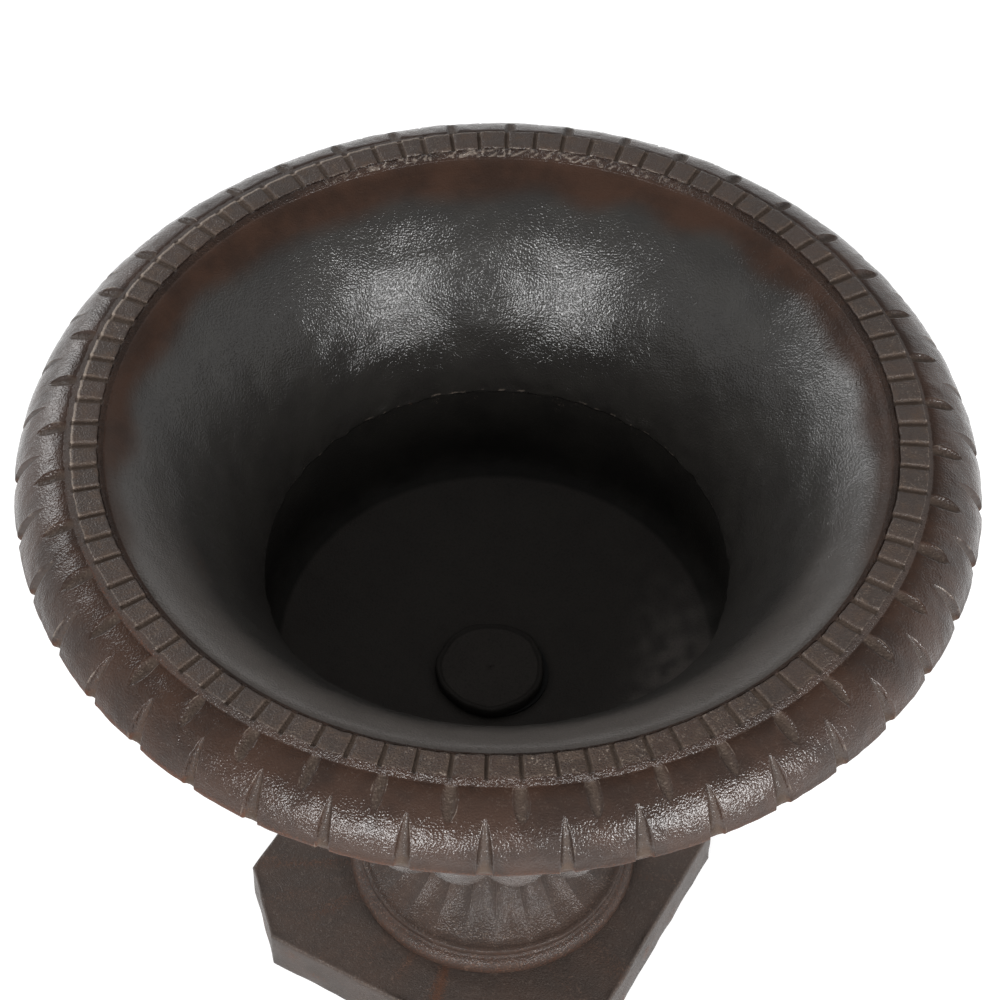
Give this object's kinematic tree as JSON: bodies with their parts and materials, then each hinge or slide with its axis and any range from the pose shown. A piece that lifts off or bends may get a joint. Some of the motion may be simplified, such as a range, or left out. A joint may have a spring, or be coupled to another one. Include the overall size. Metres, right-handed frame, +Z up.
{
  "type": "cast iron garden vase",
  "caption": "Campana garden vase in painted cast iron: flared bell with rolled notched rim, gadrooned bowl, fluted foot and square plinth on a tie rod.",
  "frame": {"origin": "middle of the plinth's underside, on the ground, on the vase's axis", "axes": "+Z up along the axis, -Y towards the viewer of the picture, +X to the viewer's right"},
  "size_m": [0.5306, 0.5306, 0.472],
  "materials": {
    "painted_iron": "brown black paint over sand cast iron, half gloss, worn to rust in the hollows",
    "iron_cement": "rough iron cement under the same paint",
    "wrought_pins": "hammered iron under the same paint",
    "packing": "matt",
    "plain_steel": "dull, lightly rusted"
  },
  "bodies": {
    "root": {"bell": "painted_iron", "lower_bowl": "painted_iron", "neck_collar": "painted_iron", "foot": "painted_iron", "plinth": "painted_iron", "clamp_plate": "painted_iron", "joint_caulking": "iron_cement", "joint_pins": "wrought_pins", "plate_packing": "packing", "tie_rod": "plain_steel", "bridge_bar": "plain_steel", "bridge_washer": "plain_steel", "tie_nut": "plain_steel", "lock_nut": "plain_steel"}
  },
  "joints": []
}
